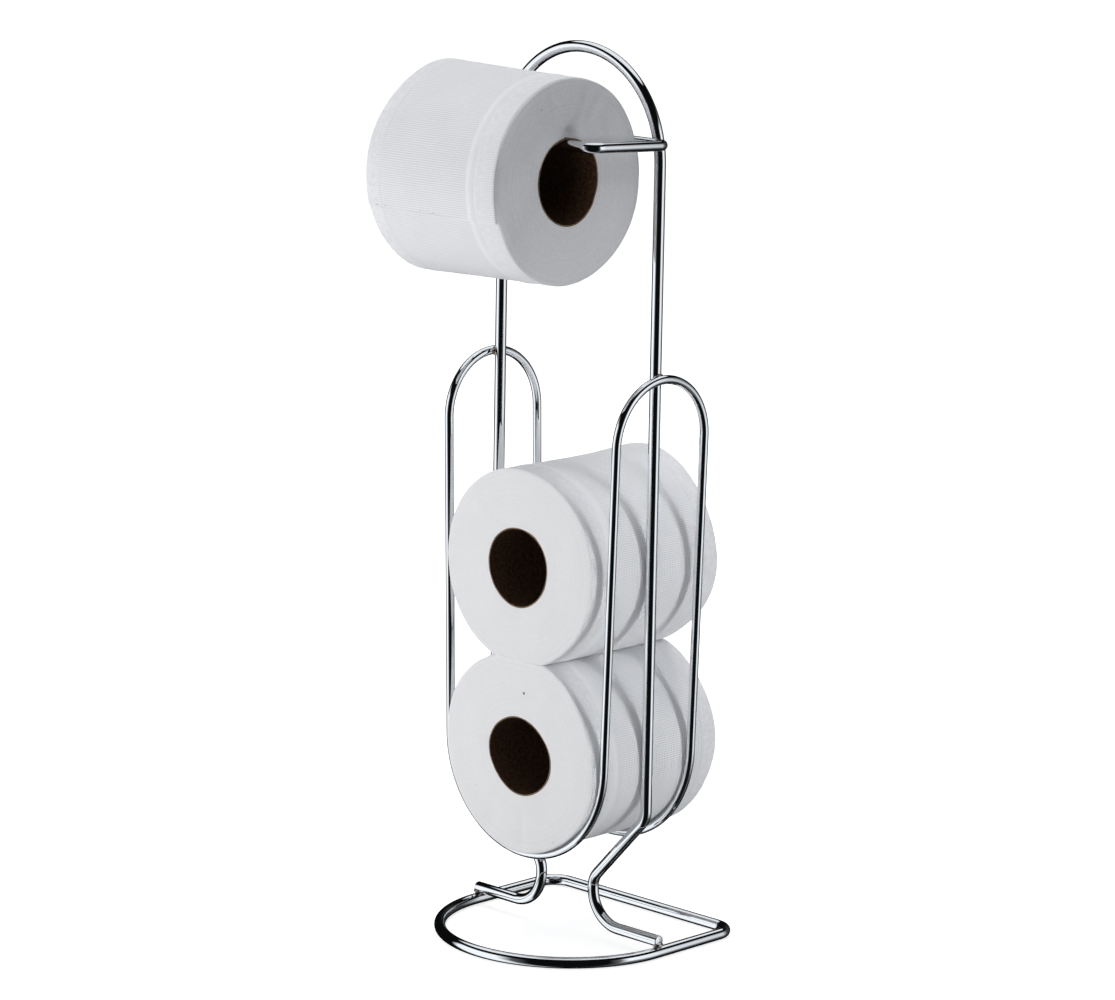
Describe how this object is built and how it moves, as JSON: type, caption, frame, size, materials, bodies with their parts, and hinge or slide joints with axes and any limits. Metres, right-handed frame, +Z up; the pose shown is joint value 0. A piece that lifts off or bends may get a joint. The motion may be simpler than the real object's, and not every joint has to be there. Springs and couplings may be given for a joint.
{
  "type": "toilet roll storage holder",
  "caption": "Free-standing bent-wire holder with a floor ring, an arched frame, an open arm for the toilet roll in use and a U-shaped cradle for stored rolls.",
  "frame": {"origin": "on the floor, midway between the two uprights", "axes": "+X from the left upright to the right one, -Y to the front where the floor ring is round, +Z up"},
  "size_m": [0.1491, 0.1859, 0.5059],
  "materials": {
    "chrome_wire": "polished",
    "weld_metal": "satin",
    "roll_paper": "matte",
    "loose_sheet": "matte",
    "card_core": "matte"
  },
  "bodies": {
    "stand": {"frame_wire": "chrome_wire", "cradle_wire": "chrome_wire", "base_wire": "chrome_wire", "arm_wire": "chrome_wire", "cradle_welds": "weld_metal", "arm_welds": "weld_metal", "foot_welds": "weld_metal", "base_seam_weld": "weld_metal"},
    "top_roll": {"top_roll_paper": "roll_paper", "top_roll_core": "card_core", "top_roll_tail": "loose_sheet"},
    "upper_roll": {"upper_roll_paper": "roll_paper", "upper_roll_core": "card_core"},
    "lower_roll": {"lower_roll_paper": "roll_paper", "lower_roll_core": "card_core"}
  },
  "joints": [
    {"name": "top_roll_spin", "type": "hinge", "parent": "stand", "child": "top_roll", "pos_m": [0, -0.06423, 0.43838], "axis": [1, 0, 0], "continuous": true},
    {"name": "upper_roll_slide", "type": "slide", "parent": "stand", "child": "upper_roll", "axis": [0, -1, 0], "range_m": [0, 0.12]},
    {"name": "lower_roll_slide", "type": "slide", "parent": "stand", "child": "lower_roll", "axis": [0, -1, 0], "range_m": [0, 0.12]}
  ]
}
